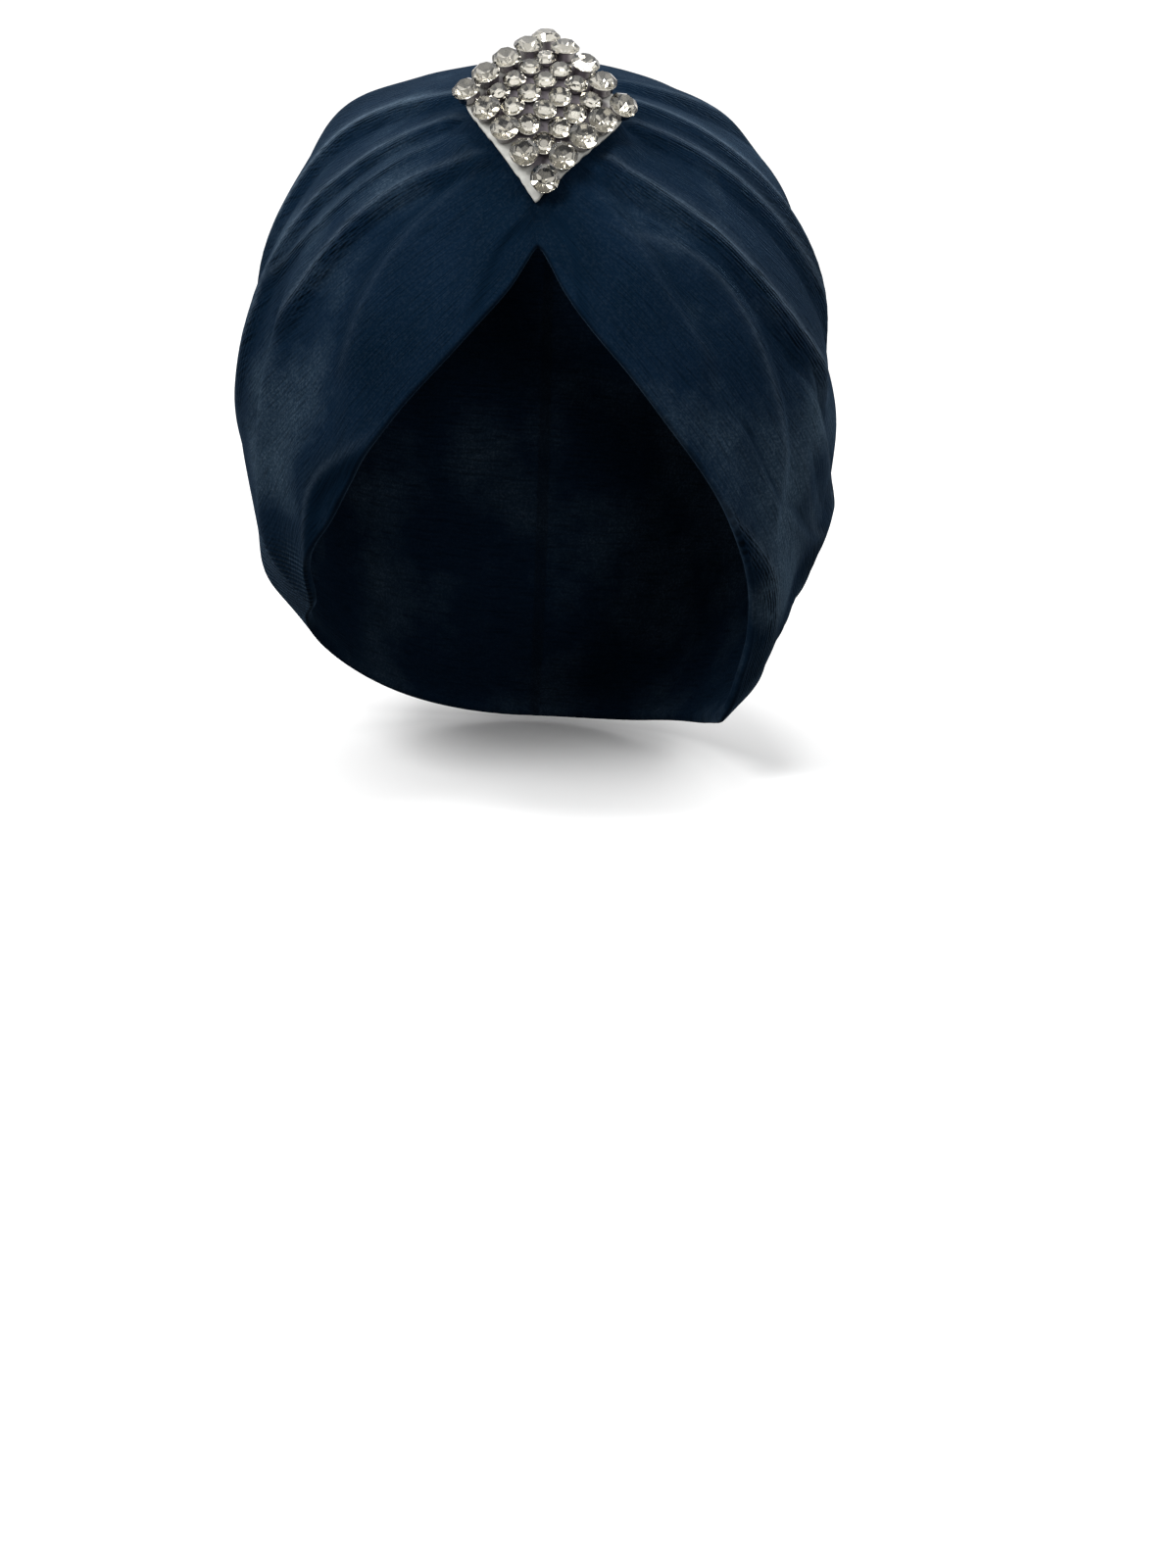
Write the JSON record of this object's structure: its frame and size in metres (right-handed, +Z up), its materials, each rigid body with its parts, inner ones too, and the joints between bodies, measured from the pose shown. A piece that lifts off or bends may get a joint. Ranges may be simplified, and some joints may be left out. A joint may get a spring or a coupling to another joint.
{
  "type": "forehead headband",
  "caption": "Wide turban-style velour headband gathered above the forehead, with soft fanned folds, an open crown and a rhombus applique of clear cut stones in cups on a white backing.",
  "frame": {"origin": "middle of the head that the band is worn on, at its widest level", "axes": "+Z up along the head, -Y toward the face, +X to the right as seen from the front"},
  "size_m": [0.1631, 0.1859, 0.2035],
  "materials": {
    "velour": "very dark navy stretch velour with fine ribs along the band",
    "backing": "matt white trimmed backing",
    "stone": "clear cut stone in a bright silver-coloured cup"
  },
  "bodies": {
    "root": {"velour_band": "velour", "applique_backing": "backing", "outer_stone_1_1": "stone", "outer_stone_1_2": "stone", "outer_stone_1_3": "stone", "outer_stone_1_4": "stone", "outer_stone_1_5": "stone", "outer_stone_2_1": "stone", "outer_stone_2_5": "stone", "outer_stone_3_1": "stone", "outer_stone_3_5": "stone", "outer_stone_4_1": "stone", "outer_stone_4_5": "stone", "outer_stone_5_1": "stone", "outer_stone_5_2": "stone", "outer_stone_5_3": "stone", "outer_stone_5_4": "stone", "outer_stone_5_5": "stone", "inner_stone_1_1": "stone", "inner_stone_1_2": "stone", "inner_stone_1_3": "stone", "inner_stone_1_4": "stone", "inner_stone_2_1": "stone", "inner_stone_2_2": "stone", "inner_stone_2_3": "stone", "inner_stone_2_4": "stone", "inner_stone_3_1": "stone", "inner_stone_3_2": "stone", "inner_stone_3_3": "stone", "inner_stone_3_4": "stone", "inner_stone_4_1": "stone", "inner_stone_4_2": "stone", "inner_stone_4_3": "stone", "inner_stone_4_4": "stone"}
  },
  "joints": []
}
